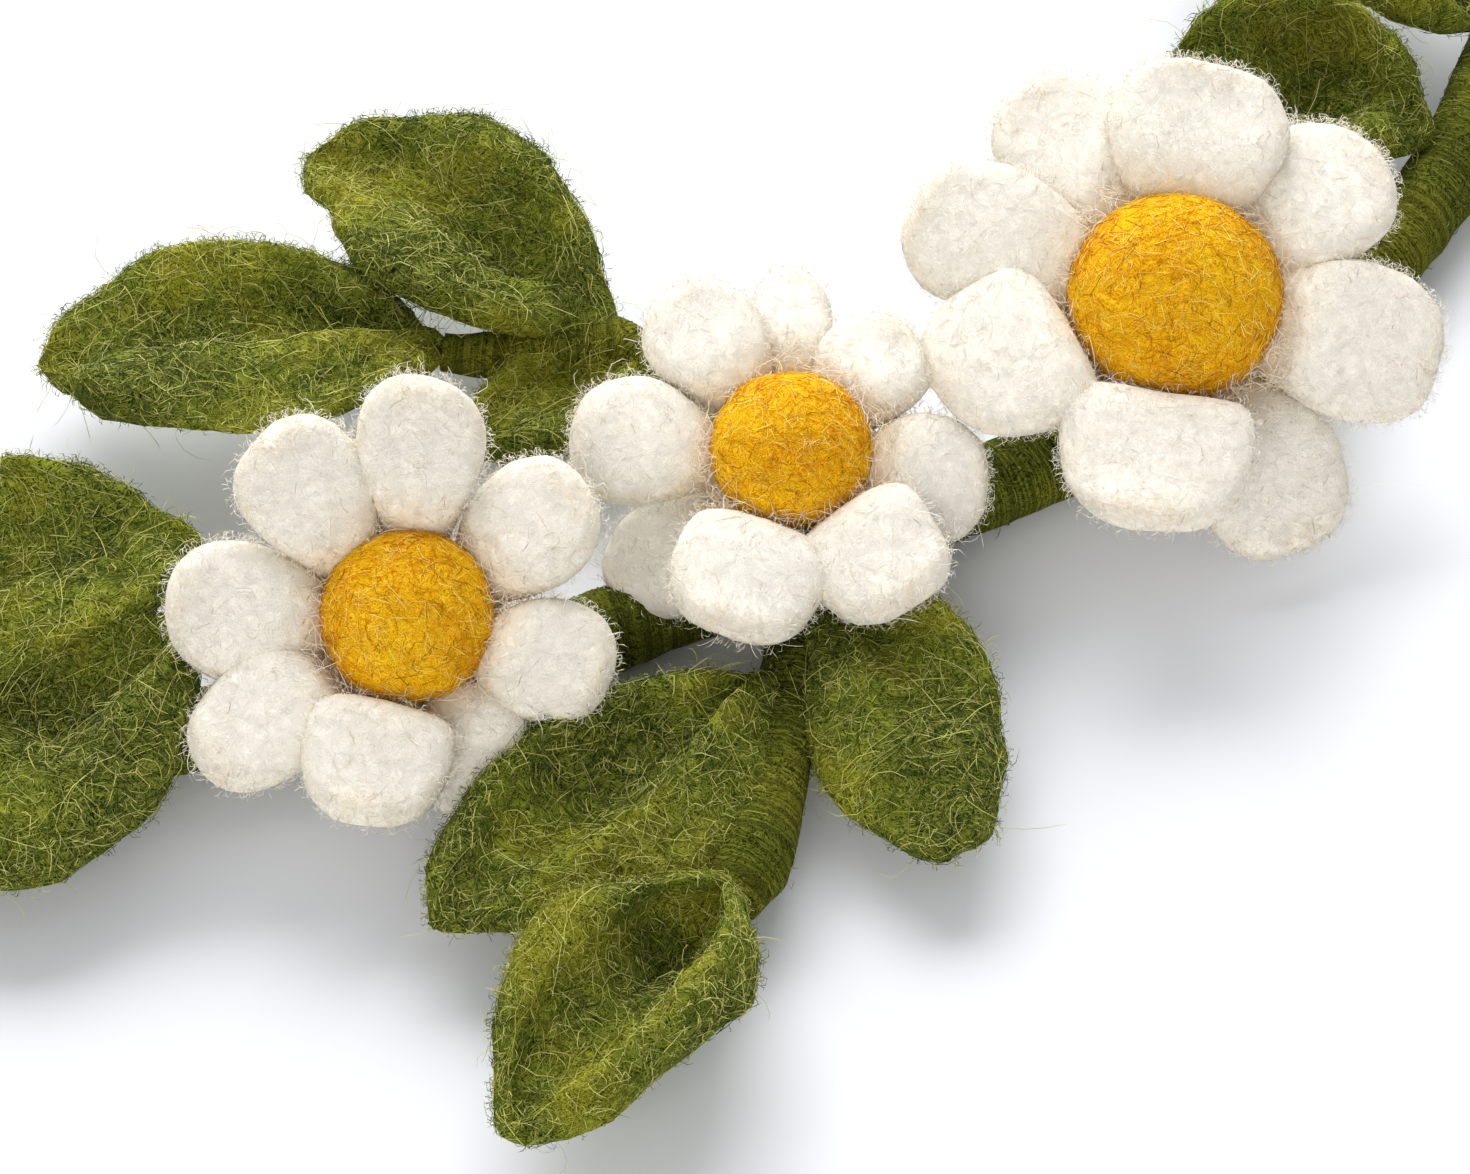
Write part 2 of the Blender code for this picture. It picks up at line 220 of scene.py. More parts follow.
def felted(name, deep, tones, pale, depth, contrast=1.0, soft=0.0, fine=1.0, wound=0.0):
    """Matt felt of fine curly fibres that cross each other, lighter and darker in patches.

    fine is the fibres' size, and wound is how clearly the strands show that are wound crosswise,
    through painted shade in the grooves between them. The second argument, the colour between
    the fibres, is painted shade in the gaps; pale is the upper fibres' lighter colour, partly
    their own and partly painted light.
    """
    dye = Dye(name)
    place = dye.add("ShaderNodeTexCoord", output=3)
    place = dye.add(
        "ShaderNodeVectorMath", {"operation": "SCALE"}, {0: place, "Scale": 1 / MM / fine}
    )
    drift = dye.add(
        "ShaderNodeTexNoise", None, {"Vector": place, "Scale": 0.22, "Detail": 1.5}, output=1
    )
    bent = dye.add(
        "ShaderNodeVectorMath",
        {"operation": "MULTIPLY_ADD"},
        {0: drift, 1: (FIBRE_DRIFT, FIBRE_DRIFT, FIBRE_DRIFT), 2: place},
    )
    # The patch holds random lighter and darker patches, and on the petals and some leaves painted
    # shade too.
    patch = dye.add("ShaderNodeAttribute", {"attribute_name": "patch"}, output=2)
    mottle = dye.add(
        "ShaderNodeTexNoise", None, {"Vector": place, "Scale": 0.9 * fine, "Detail": 2.0}
    )
    share = (patch + (mottle - 0.5) * 0.9).most(0.0).least(1.0)
    first = dye.blend((share * 2).least(1.0), tones[0], tones[1])
    tone = dye.blend((share * 2 - 1).most(0.0), first, tones[2])
    # Painted shade: the wool between the strands is mostly the gap colour, as shade falls between the
    # fibres.
    colour = dye.blend(1 - contrast * 0.8, deep, tone)
    height = None
    for turn, tilt, light in FELT_LAYERS:
        laid = dye.add(
            "ShaderNodeMapping",
            {"vector_type": "TEXTURE"},
            {
                "Vector": bent,
                "Rotation": (0.0, math.radians(tilt), math.radians(turn)),
                "Scale": (FIBRE_RUN, FIBRE_WIDE, FIBRE_WIDE),
            },
        )
        strand = dye.add(
            "ShaderNodeTexNoise", None, {"Vector": laid, "Scale": 1.0, "Detail": 0.0}
        )
        height = strand if height is None else height.most(strand)
        # Painted light and shade: deep layers are darkened towards the gap colour, upper ones
        # lightened towards pale.
        strand_light_and_shade = dye.blend(light, dye.blend(0.35, tone, deep), dye.blend(0.45, tone, pale))
        colour = dye.blend(((strand - 0.565) * 14).most(0.0).least(contrast), colour, strand_light_and_shade)
    if wound > 0:
        along = dye.add("ShaderNodeAttribute", {"attribute_name": "along"}, output=2)
        turns = dye.add("ShaderNodeCombineXYZ", None, {0: along * (3.4 / MM), 1: along * (0.4 / MM)})
        strand = dye.add(
            "ShaderNodeTexNoise", None, {"Vector": turns, "Scale": 1.0, "Detail": 1.0}
        )
        # Painted shade in the grooves between the wound strands.
        groove_shade = ((0.52 - strand) * 9).most(0.0).least(wound)
        colour = dye.blend(groove_shade, colour, deep)
        height = height + strand * 2
    bump = dye.add(
        "ShaderNodeBump", None, {"Strength": 0.8, "Distance": depth, "Height": height * 4}
    )
    dye.set(
        dye.felt,
        {
            "Base Color": colour,
            "Normal": bump,
            "Roughness": 0.95,
            "Specular IOR Level": 0.05,
            "Subsurface Weight": soft,
            "Subsurface Radius": (1.0, 0.75, 0.45),
            "Subsurface Scale": 2.0 * MM,
        },
    )
    return dye.material


wool = felted("wound wool", WOOL_GAP_SHADE, WOOL_GREENS, WOOL_PALE, 0.06 * MM, wound=0.5)
shape = bmesh.new()
start = Matrix.Translation((RING_RADIUS, 0.0, VINE_MIDDLE)) @ Matrix.Rotation(math.pi / 2, 4, "X")
bmesh.ops.create_circle(shape, segments=VINE_SIDES, radius=VINE_RADIUS, matrix=start)
bmesh.ops.spin(
    shape,
    geom=shape.verts[:] + shape.edges[:],
    axis=(0.0, 0.0, 1.0),
    angle=math.tau,
    steps=VINE_STEPS,
    use_merge=True,
)
if shape.calc_volume(signed=True) < 0:
    bmesh.ops.reverse_faces(shape, faces=shape.faces)
for vertex in shape.verts:
    angle = math.degrees(math.atan2(vertex.co.x, -vertex.co.y))
    out = math.hypot(vertex.co.x, vertex.co.y) - RING_RADIUS
    vertex.co = ring_point(angle, out, vertex.co.z) + RING_CENTRE
roughen(shape, ((9 * MM, 0.45 * MM), (2.5 * MM, 0.25 * MM)))
for vertex in shape.verts:
    vertex.co.z = max(vertex.co.z, 0.05 * MM)

# Twigs: shorter wires wound with the same wool, two in each group, an inner and an outer one.
# Each leaves the ring in a bend; its points are on the ring: angle, out, height, then its radius.
TWIG_COLUMNS = ("angle", "out", "up", "radius")
TWIGS = (
    (
        (24.6, 0.0, 5.0, 2.8),
        (24.7, -11.0, 5.5, 2.6),
        (24.8, -22.0, 6.2, 2.6),
        (23.6, -29.0, 6.9, 2.6),
        (20.8, -31.0, 7.2, 2.4),
        (16.8, -33.3, 7.4, 2.2),
        (14.8, -35.4, 7.4, 1.9),
    ),
    (
        (26.0, 0.0, 4.8, 3.2),
        (24.1, 10.0, 5.0, 3.1),
        (21.8, 20.0, 5.2, 3.1),
        (20.4, 26.5, 5.3, 3.3),
        (19.1, 31.5, 5.6, 4.0),
        (18.0, 34.5, 5.2, 3.0),
    ),
)


def twig_mesh(route, group):
    """A wound twig as a tube of even fineness along its smooth route."""
    curve = bpy.data.curves.new("twig", "CURVE")
    curve.dimensions = "3D"
    curve.bevel_depth = 1.0
    curve.bevel_resolution = 5
    curve.resolution_u = 10
    curve.use_fill_caps = True
    spline = curve.splines.new("BEZIER")
    spline.bezier_points.add(len(route) - 1)
    for point, values in zip(spline.bezier_points, route):
        row = dict(zip(TWIG_COLUMNS, values))
        point.co = ring_point(row["angle"], row["out"] * MM, row["up"] * MM)
        point.radius = row["radius"] * MM
        point.handle_left_type = "AUTO"
        point.handle_right_type = "AUTO"
    thing = bpy.data.objects.new("twig", curve)
    bpy.context.scene.collection.objects.link(thing)
    bpy.context.view_layer.update()
    mesh = bpy.data.meshes.new_from_object(thing.evaluated_get(bpy.context.evaluated_depsgraph_get()))
    bpy.data.objects.remove(thing)
    mesh.transform(turned(group))
    return mesh


for group in range(GROUPS):
    for route in TWIGS:
        twig = bmesh.new()
        twig.from_mesh(twig_mesh(route, group))
        bmesh.ops.remove_doubles(twig, verts=twig.verts, dist=0.01 * MM)
        if twig.calc_volume(signed=True) < 0:
            bmesh.ops.reverse_faces(twig, faces=twig.faces)
        roughen(twig, ((6 * MM, 0.3 * MM), (2.5 * MM, 0.25 * MM)))
        joined = bpy.data.meshes.new("twig")
        twig.to_mesh(joined)
        twig.free()
        shape.from_mesh(joined)


def wire_at(place):
    """How far along the wire a place is and the wire's way there, on the ring or a twig."""
    own = place - RING_CENTRE
    best = Vector((-own.y, own.x, 0.0)).normalized()
    along = math.atan2(own.x, -own.y) * RING_RADIUS
    reach = abs(math.hypot(own.x, own.y) - RING_RADIUS)
    if reach < 8 * MM:
        return along, best
    nearest = math.inf
    for group in range(GROUPS):
        for route in TWIGS:
            rows = [dict(zip(TWIG_COLUMNS, values)) for values in route]
            points = [ring_point(row["angle"], row["out"] * MM, row["up"] * MM) for row in rows]
            points = [turned(group) @ point for point in points]
            passed = 0.0
            for first, second in zip(points, points[1:]):
                far = (place - (first + second) / 2).length
                way = (second - first).normalized()
                if far < nearest:
                    nearest = far
                    best = way
                    along = passed + (place - first).dot(way)
                passed += (second - first).length
    return along, best


def wire_run(place):
    """The way the wire runs under the wool at a place."""
    return wire_at(place)[1]


vine = finished("vine_wound", shape, wool, ["vine"], run=wire_run)
wound = vine.data.attributes.new("along", "FLOAT", "POINT")
wound.data.foreach_set("value", [wire_at(vertex.co)[0] for vertex in vine.data.vertices])

# Daisies: eight thick petals of white wool, each needled into shape and felted to one root.
# Each leans out of the ring; ways, rise and lift are in degrees and lengths in mm.
DAISY_COLUMNS = ("angle", "out", "up", "turn", "lean", "ball")
DAISIES = {
    "a": (9.9, 0.5, 14.0, -9.9, 28.0, 15.4),
    "b": (26.3, -2.8, 14.2, -26.3, 16.0, 14.6),
    "c": (43.0, -1.3, 15.5, -43.0, 22.0, 19.4),
}
PETAL_COLUMNS = (
    "way",
    "length",
    "width",
    "rise",
    "lift",
    "cup",
    "wide",
    "fold",
    "steep",
    "raised",
    "roll",
)
PETALS = {
    "a": (
        (32, 19.3, 13.6, 8, 52, 12, 1.00, 2.4, 0.0, -0.5, -8),
        (86, 21.5, 13.4, 8, 58, 14, 0.95, 2.6, 0.0, 0.6, 0),
        (131, 20.5, 14.0, 8, 55, 14, 0.97, 2.6, 0.0, 0.9, 5),
        (175, 20.3, 14.0, 8, 39, 10, 1.00, 2.4, 0.0, -0.4, -7),
        (218, 21.2, 11.8, 8, 34, 6, 1.2, 2.6, 0.7, 0.0, 2),
        (259, 19.2, 13.8, 8, 50, 4, 1.25, 3.4, 1.0, 0.8, 0),
        (299, 17.8, 12.6, 4, 14, 8, 1.00, 2.0, 0.0, 0.0, 0),
        (345, 17.3, 13.2, 8, 32, 10, 1.00, 2.4, 0.0, 0.3, 6),
    ),
    "b": (
        (49, 14.8, 12.6, 8, 29, 12, 0.95, 2.2, 0.0, -0.4, -6),
        (90, 17.6, 9.0, 4, 12, 8, 0.95, 1.6, 0.0, -0.8, 0),
        (127, 17.5, 13.0, 8, 32, 12, 0.95, 2.4, 0.0, 0.5, 6),
        (174, 18.0, 14.0, 8, 26, 12, 0.98, 2.4, 0.0, 0.3, -5),
        (214, 17.0, 12.0, -8, -4, 8, 0.95, 1.2, 0.0, -0.8, 0),
        (252, 20.0, 14.4, 8, 46, 4, 1.25, 3.2, 0.6, 0.6, -3),
        (306, 18.4, 13.8, 8, 42, 4, 1.2, 3.0, 0.6, 0.6, 3),
        (356, 15.5, 13.6, 6, 12, 10, 0.97, 2.2, 0.0, -0.4, 7),
    ),
    "c": (
        (37, 22.3, 16.8, 6, 20, 12, 0.98, 2.6, 0.0, -0.5, -7),
        (82, 21.8, 19.2, 8, 29, 14, 1.00, 2.8, 0.0, 0.8, 0),
        (122, 23.5, 16.2, 6, 16, 12, 0.90, 2.2, 0.0, -0.6, 5),
        (158, 24.0, 16.0, 8, 24, 10, 1.00, 2.6, 0.0, 0.3, -6),
        (205, 23.6, 17.0, 8, 38, 5, 1.25, 3.6, 1.0, 0.8, 7),
        (262, 25.0, 18.0, 8, 50, 4, 1.28, 3.8, 0.8, 1.0, 0),
        (300, 22.0, 16.0, -4, 0, 10, 1.00, 1.8, 0.0, -0.8, 0),
        (350, 22.8, 16.8, 4, 12, 10, 1.05, 2.6, 0.0, 0.3, 6),
    ),
}
PETAL_THICK = 4.4 * MM
PETAL_SWELL = 0.7 * MM
PETAL_ROOT_OUT = 3.0 * MM
PETAL_ROOT_DOWN = -2.4 * MM
PETAL_SIDES = 20
PETAL_RINGS = 26
HUB_RADIUS = 9.4 * MM
HUB_DEPTH = 7.5 * MM
# Painted shade: the first colour is the shade in the gaps between the white fibres.
WHITE_GAP_SHADE = (0.86, 0.77, 0.62)
# Painted warm shade: the first of the whites, a peach tone, shows by the centres and along the
# petals' cut edges.
WHITES = ((0.93, 0.73, 0.47), (0.96, 0.91, 0.80), (0.975, 0.95, 0.88))
WHITE_PALE = (0.99, 0.975, 0.93)
PEACH_SHADE_REACH = 5.5 * MM
PEACH_SHADE_AT_EDGES = 0.6
NEARLY_STRAIGHT = math.radians(0.01)


def blade_point(size, outline, relief, along, rim, across, upward):
    """A point of a leaf or petal from its share of the length, width and thickness."""
    rise = math.radians(size["rise"])
    curl = math.radians(size["lift"]) - rise
    slope = rise + curl * along
    if abs(curl) < NEARLY_STRAIGHT:
        forward = math.cos(rise) * along
        height = math.sin(rise) * along
    else:
        forward = (math.sin(slope) - math.sin(rise)) / curl
        height = (math.cos(rise) - math.cos(slope)) / curl
    spine = Vector((forward, 0.0, height)) * size["length"]
    normal = Vector((-math.sin(slope), 0.0, math.cos(slope)))
    half_width = size["width"] / 2 * outline(along, rim)
    half_thick = size["thick"] / 2 * rim ** size["blunt"]
    cup = math.radians(size["cup_root"] + (size["cup_tip"] - size["cup_root"]) * along)
    bend = cup * across
    if abs(cup) < NEARLY_STRAIGHT:
        side = half_width * across
        dish = 0.0
    else:
        side = half_width / cup * math.sin(bend)
        dish = half_width / cup * (1 - math.cos(bend))
    lift = half_thick * upward + relief(along, across, upward) * rim
    side -= lift * math.sin(bend)
    dish += lift * math.cos(bend)
    return spine + normal * dish + Vector((0.0, side, 0.0))


def eased(value, low, high):
    """From 0 to 1, smoothly, as the value passes from low to high."""
    share = min(1.0, max(0.0, (value - low) / (high - low)))
    return share * share * (3 - 2 * share)


def blade(size, outline, relief, sides, rings):
    """A leaf or petal as a closed shape, its root at the origin, along +X with its face up.

    Its points keep how near they are to the cut edge, from 0 to 1.
    """
    ball = bmesh.new()
    edge = ball.verts.layers.float.new("edge")
    bmesh.ops.create_uvsphere(ball, u_segments=sides, v_segments=rings, radius=1.0)
    for vertex in ball.verts:
        along = (1 + vertex.co.z) / 2
        rim = math.sqrt(max(0.0, 1 - vertex.co.z ** 2))
        turn = math.atan2(vertex.co.y, vertex.co.x)
        across = math.copysign(abs(math.cos(turn)) ** size["square"], math.cos(turn))
        upward = math.copysign(abs(math.sin(turn)) ** size["square"], math.sin(turn))
        vertex.co = blade_point(size, outline, relief, along, rim, across, upward)
        vertex[edge] = max(abs(across) ** 8, eased(along, 0.88, 0.98)) * eased(along, 0.15, 0.3)
    if ball.calc_volume(signed=True) < 0:
        bmesh.ops.reverse_faces(ball, faces=ball.faces)
    return ball


def petal_outline(row):
    """A wedge that just fits between its neighbours, with a round end."""

    def outline(along, rim):
        wedge = (0.25 + 1.2 * along) * row["wide"]
        narrowed = 1 - 0.28 * row["steep"] * (1 - eased(along, 0.24, 0.40))
        return 1.1 * wedge / (1 + wedge ** 6) ** (1 / 6) * narrowed * rim ** 0.8

    return outline


def petal_relief(row):
    """A petal is folded up beside the centre, and its face is a little fuller in the middle."""

    def relief(along, across, upward):
        rise = eased(along, 0.05 + 0.27 * row["steep"], 0.38 + 0.10 * row["steep"])
        crest = row["fold"] * MM * rise * (1 - eased(along, 0.5, 1.0))
        swell = PETAL_SWELL * max(0.0, upward) * (1 - across ** 2) * math.sin(math.pi * along)
        return crest + swell

    return relief


def daisy_place(kind):
    """Where a daisy stands: its root's top face, leaning out of the ring."""
    row = dict(zip(DAISY_COLUMNS, DAISIES[kind]))
    at = ring_point(row["angle"], row["out"] * MM, row["up"] * MM)
    facing = Matrix.Rotation(math.radians(row["angle"] + row["turn"]), 4, "Z")
    return Matrix.Translation(at) @ facing @ Matrix.Rotation(math.radians(row["lean"]), 4, "X")


def corolla(kind, group):
    """The eight petals and their root, as one shape."""
    place = turned(group) @ daisy_place(kind)
    whole = bmesh.new()
    whole.verts.layers.float.new("edge")
    hub = Matrix.Translation((0.0, 0.0, -HUB_DEPTH / 2)) @ Matrix.Diagonal((1.0, 1.0, 0.56, 1.0))
    bmesh.ops.create_uvsphere(
        whole, u_segments=24, v_segments=14, radius=HUB_RADIUS, matrix=place @ hub
    )
    for values in PETALS[kind]:
        row = dict(zip(PETAL_COLUMNS, values))
        size = {
            "length": row["length"] * MM,
            "width": row["width"] * MM,
            "thick": PETAL_THICK,
            "rise": row["rise"],
            "lift": row["lift"],
            "cup_root": row["cup"] * 2,
            "cup_tip": row["cup"],
            "square": 0.62,
            "blunt": 0.42,
        }
        petal = blade(size, petal_outline(row), petal_relief(row), PETAL_SIDES, PETAL_RINGS)
        root = Matrix.Translation((PETAL_ROOT_OUT, 0.0, PETAL_ROOT_DOWN + row["raised"] * MM))
        way = Matrix.Rotation(math.radians(row["way"]), 4, "Z")
        petal.transform(place @ way @ root @ Matrix.Rotation(math.radians(row["roll"]), 4, "X"))
        roughen(petal, ((7 * MM, 0.5 * MM), (2.4 * MM, 0.16 * MM)))
        mesh = bpy.data.meshes.new("petal")
        petal.to_mesh(mesh)
        petal.free()
        whole.from_mesh(mesh)
        bpy.data.meshes.remove(mesh)
    return whole


white_felt = felted(
    "white wool felt", WHITE_GAP_SHADE, WHITES, WHITE_PALE, 0.045 * MM, contrast=0.8, fine=0.45
)
corollas = []
for kind in DAISIES:
    for group in range(GROUPS):
        node = f"daisy_{kind}{group + 1}_petals"
        upright = (turned(group) @ daisy_place(kind)).inverted()
        ball = dict(zip(DAISY_COLUMNS, DAISIES[kind]))["ball"] / 2 * MM

        def peach_shade_at_roots(place):
            """Low by the daisy's centre and below it, with some random unevenness: a painted warm
            shade where the centre shades the petals' roots and casts its yellow on them.
            """
            own = upright @ place
            far = math.hypot(own.x, own.y) - ball
            return min(1.0, max(0.0, far / PEACH_SHADE_REACH + 0.3 * lump(place, 5 * MM)))

        piece = finished(
            f"petals_{kind}{group + 1}",
            corolla(kind, group),
            white_felt,
            [node],
            peach_shade_at_roots,
        )
        # Painted shade: the patch is lowered towards the peach tone along the petals' cut edges,
        # where their side walls lie in shade.
        edges = piece.data.attributes["edge"].data
        for patch, edge in zip(piece.data.attributes["patch"].data, edges):
            patch.value *= 1 - PEACH_SHADE_AT_EDGES * edge.value
        corollas.append(piece)

# Centres: a ball of yellow wool for each daisy, felted hard, pressed to a dome
# and sewn down on the petals' root.
BALL_FLATNESS = 0.72
BALL_SINK = 0.37
BALL_PRESSED = 1.03
CLEARANCE = 0.3 * MM
# Painted shade: the first colour is the shade in the gaps between the yellow fibres.
YELLOW_GAP_SHADE = (0.36, 0.12, 0.001)
YELLOWS = ((0.76, 0.30, 0.001), (0.90, 0.44, 0.002), (0.96, 0.54, 0.004))
YELLOW_PALE = (1.0, 0.68, 0.03)
yellow_felt = felted(
    "yellow wool felt", YELLOW_GAP_SHADE, YELLOWS, YELLOW_PALE, 0.04 * MM, contrast=0.9, fine=0.6
)
centres = []
for kind in DAISIES:
    for group in range(GROUPS):
        row = dict(zip(DAISY_COLUMNS, DAISIES[kind]))
        radius = row["ball"] / 2 * MM * BALL_PRESSED
        shape = bmesh.new()
        bmesh.ops.create_uvsphere(shape, u_segments=36, v_segments=24, radius=radius)
        for vertex in shape.verts:
            height = CLEARANCE + radius * BALL_SINK + vertex.co.z * BALL_FLATNESS
            vertex.co.z = max(height, CLEARANCE)
        shape.transform(turned(group) @ daisy_place(kind))
        roughen(shape, ((6 * MM, 0.3 * MM), (2 * MM, 0.1 * MM)))
        piece = finished(
            f"centre_{kind}{group + 1}",
            shape,
            yellow_felt,
            [f"daisy_{kind}{group + 1}_centre"],
        )
        centres.append(piece)

# Leaves: cut from thick green felt, pinched and cupped at the root and wound or sewn to the vine.
# Root on the ring; heading is 0 outwards, 90 onwards round the ring, 180 inwards.
LEAF_COLUMNS = (
    "angle",
    "out",
    "up",
    "heading",
    "roll",
    "length",
    "width",
    "rise",
    "lift",
    "cup_root",
    "cup_tip",
)
LEAVES = {
    "inner_tip": (14.9, -35.2, 7.5, -101, 6, 39.0, 24.0, 8, -8, 78, 40),
    "inner_back": (23.2, -30.2, 7.5, -149, 3, 36.0, 22.0, 14, -8, 74, 40),
    "inner_small": (24.8, -26.5, 6.6, -84, 4, 20.0, 13.0, -2, -8, 55, 30),
    "outer_wide": (27.6, 3.6, 6.8, -15, 4, 37.5, 19.0, 8, -10, -8, -30),
    "outer_side": (22.9, 14.5, 6.2, -71, -4, 43.0, 20.0, 4, -4, 62, 38),
    "outer_tip": (18.3, 34.8, 7.4, -53, 0, 34.5, 21.5, 6, -2, 78, 46),
    "fork_in": (59.6, -2.0, 6.5, -166, 0, 27.0, 23.0, 16, -4, 66, 40),
    "fork_on": (66.0, -2.0, 6.5, 166, 0, 36.0, 22.0, 18, -4, 60, 34),
    "fork_out": (66.0, 2.0, 5.5, 40, 0, 42.0, 23.0, 16, -6, 55, 30),
    "middle_in": (81.0, -1.0, 5.5, 140, 0, 42.0, 22.0, 18, -6, 55, 30),
    "middle_out": (86.0, 2.0, 5.5, 46, 0, 42.0, 22.0, 16, -6, 55, 30),
    "end_in": (104.5, -2.0, 7.8, 113, 8, 43.0, 23.0, 18, -4, 40, 16),
    "end_out": (122.0, -5.0, 11.2, -53, 0, 37.0, 26.0, 2, -22, 16, -16),
}
# The folds of each leaf in mm: how far its rims are raised, the hollow by its root and how far
# along it is deepest, the ridge beside the middle and its side, how far the edge past the ridge
# hangs down, the crease that runs from the root and its side, and how thick the rims swell.
FOLD_COLUMNS = (
    "rim",
    "hollow",
    "hollow_at",
    "ridge",
    "ridge_side",
    "hang",
    "crease",
    "crease_side",
    "bead",
)
FOLDS = {
    "inner_tip": (0.6, 2.2, 0.30, 4.6, 0.42, 6.0, 0.0, 0.0, 1.2),
    "inner_back": (1.0, 2.6, 0.34, 2.4, 0.50, 3.5, 1.2, 0.0, 1.3),
    "inner_small": (0.8, 1.2, 0.35, 0.6, 0.50, 1.0, 0.8, 0.0, 0.5),
    "outer_wide": (0.2, 1.0, 0.18, 0.8, -0.45, 1.0, 3.4, 0.15, 0.9),
    "outer_side": (0.8, 2.4, 0.45, 4.2, 0.55, 4.5, 1.4, 0.2, 1.2),
    "outer_tip": (1.8, 4.4, 0.24, 0.4, 0.60, 0.6, 0.0, 0.0, 2.0),
    "fork_in": (2.0, 4.6, 0.50, 3.0, 0.45, 2.5, 2.2, -0.2, 0.9),
    "fork_on": (1.2, 2.6, 0.35, 2.0, -0.45, 2.0, 1.2, 0.2, 0.9),
    "fork_out": (1.4, 2.8, 0.30, 1.8, 0.45, 2.0, 1.0, -0.2, 0.9),
    "middle_in": (1.2, 2.4, 0.30, 2.0, -0.45, 2.0, 1.0, 0.2, 0.9),
    "middle_out": (1.2, 2.6, 0.30, 1.8, 0.45, 2.0, 1.0, -0.1, 0.9),
    "end_in": (1.6, 3.4, 0.45, 3.4, -0.40, 3.0, 3.2, 0.1, 0.9),
    "end_out": (1.2, 3.2, 0.40, 3.2, 0.40, 3.0, 2.8, -0.1, 0.9),
}
LEAF_THICK = 3.2 * MM
LEAF_SIDES = 28
LEAF_RINGS = 26
LEAF_STEM = 0.24
# Painted shade: the first colour is the shade in the gaps between the green fibres.
LEAF_GAP_SHADE = (0.004, 0.007, 0.001)
LEAF_GREENS = ((0.026, 0.052, 0.008), (0.096, 0.136, 0.009), (0.28, 0.27, 0.015))
LEAF_PALE = (0.42, 0.44, 0.06)
# Painted shade: how much darker these leaves are made all over, as they lie in shadow.
SHADED_LEAVES = {"outer_side": 0.18, "end_in": 0.25, "end_out": 0.25}


def leaf_outline(along, rim):
    """A pinched root, full sides and a blunt point."""
    sides = along ** 0.85 * max(0.0, 1 - along) ** 0.75 / 0.33
    return max(sides, LEAF_STEM * rim * (1 - along))


def leaf_area(size):
    """The flat area of a leaf as it was cut."""
    steps = 200
    widths = [leaf_outline((step + 0.5) / steps, 1.0) for step in range(steps)]
    return size["width"] * size["length"] * sum(widths) / steps


def leaf_patch_and_shade(kind):
    """How light a leaf's wool is at each place; some leaves are painted darker all over, as shade for
    leaves that lie in shadow.
    """
    leaf_shade = SHADED_LEAVES.get(kind, 0.0)
    return lambda place: max(0.0, patch_value(place) - leaf_shade)


def leaf_relief(kind):
    """How far the folds of a leaf lift its felt at each place."""
    fold = dict(zip(FOLD_COLUMNS, FOLDS[kind]))

    def relief(along, across, upward):
        raised = max(0.0, abs(across) - 0.45) / 0.55
        rim = fold["rim"] * raised ** 1.5
        near = (along - fold["hollow_at"]) / 0.2
        hollow = -fold["hollow"] * math.exp(-near ** 2) * (1 - across ** 2)
        fade = max(0.0, 1 - along / 0.85) ** 0.5
        ridge = fold["ridge"] * math.exp(-((across - fold["ridge_side"]) / 0.2) ** 2) * fade
        past = max(0.0, across * math.copysign(1.0, fold["ridge_side"]) - 0.5) / 0.5
        hang = -fold["hang"] * past ** 1.5 * math.sin(math.pi * min(1.0, along * 1.25)) ** 0.7
        crease = -fold["crease"] * math.exp(-((across - fold["crease_side"]) / 0.14) ** 2)
        crease *= max(0.0, 1 - along / 0.6)
        bead = fold["bead"] * upward * math.exp(-((abs(across) - 0.75) / 0.28) ** 2)
        return (rim + hollow + ridge + hang + crease + bead) * MM

    return relief


def leaf_shape(kind, group):
    """A leaf in its place, and its size."""
    row = dict(zip(LEAF_COLUMNS, LEAVES[kind]))
    size = {
        "length": row["length"] * MM,
        "width": row["width"] * MM,
        "thick": LEAF_THICK,
        "rise": row["rise"],
        "lift": row["lift"],
        "cup_root": row["cup_root"],
        "cup_tip": row["cup_tip"],
        "square": 0.62,
        "blunt": 0.45,
    }
    leaf = blade(size, leaf_outline, leaf_relief(kind), LEAF_SIDES, LEAF_RINGS)
    at = ring_point(row["angle"], row["out"] * MM, row["up"] * MM)
    facing = Matrix.Rotation(math.radians(row["angle"] - 90 + row["heading"]), 4, "Z")
    roll = Matrix.Rotation(math.radians(row["roll"]), 4, "X")
    leaf.transform(turned(group) @ Matrix.Translation(at) @ facing @ roll)
    crumpled = min(1.0, size["width"] / (20 * MM))
    roughen(leaf, ((9 * MM, 1.5 * MM * crumpled), (3.5 * MM, 0.7 * MM * crumpled)))
    for vertex in leaf.verts:
        vertex.co.z = max(vertex.co.z, 0.05 * MM)
    return leaf, size


leaf_felt = felted("leaf wool felt", LEAF_GAP_SHADE, LEAF_GREENS, LEAF_PALE, 0.06 * MM, fine=0.8)
leaves = []
for kind in LEAVES:
    for group in range(GROUPS):
        shape, size = leaf_shape(kind, group)
        node = f"leaf_{kind}_{group + 1}"
        piece = finished(
            f"felt_{node}", shape, leaf_felt, [node], leaf_patch_and_shade(kind)
        )
        leaf_area(size)
        leaves.append(piece)

